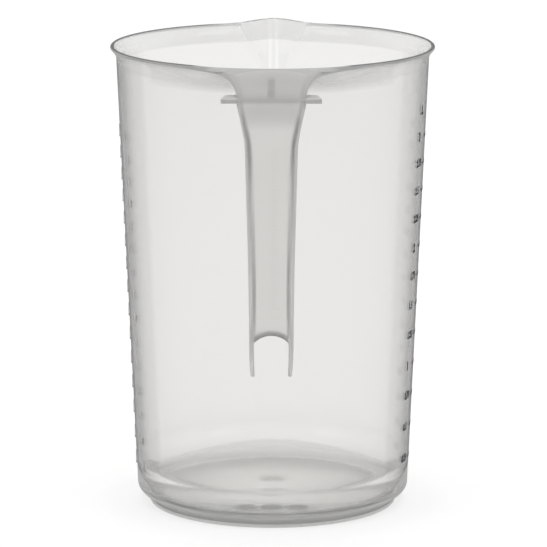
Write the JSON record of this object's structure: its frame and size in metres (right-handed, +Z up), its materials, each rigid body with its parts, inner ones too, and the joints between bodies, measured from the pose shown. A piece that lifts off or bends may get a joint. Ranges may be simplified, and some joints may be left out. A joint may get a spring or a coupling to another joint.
{
  "type": "baby formula pitcher",
  "caption": "Tall translucent measuring jug with flared rim, drawn V spout, open hanging channel grip with stop plate, raised and printed litre scales.",
  "frame": {"origin": "on the vessel's axis, in the plane of the table that the foot ring stands on", "axes": "+Z up along the vessel's axis, +Y towards the pouring spout, -Y towards the handle, +X to the right seen from the handle side, where the printed litre scale is"},
  "size_m": [0.1652, 0.2148, 0.238],
  "materials": {
    "polypropylene": "natural translucent polypropylene, satin sheen",
    "scale_ink": "black pad-printed ink"
  },
  "bodies": {
    "root": {"vessel_wall": "polypropylene", "base_heel": "polypropylene", "floor_panel": "polypropylene", "foot_ring": "polypropylene", "gate_stub": "polypropylene", "mould_insert_discs": "polypropylene", "rim_lip": "polypropylene", "pouring_spout": "polypropylene", "handle_shoulder": "polypropylene", "shoulder_side_left": "polypropylene", "shoulder_side_right": "polypropylene", "shoulder_rib": "polypropylene", "stop_plate": "polypropylene", "grip_web": "polypropylene", "grip_flange_left": "polypropylene", "grip_flange_right": "polypropylene", "grip_end_shelf": "polypropylene", "grip_tick_scale": "polypropylene", "litre_scale_print": "scale_ink", "relief_scale_left": "polypropylene", "relief_scale_right": "polypropylene"}
  },
  "joints": []
}
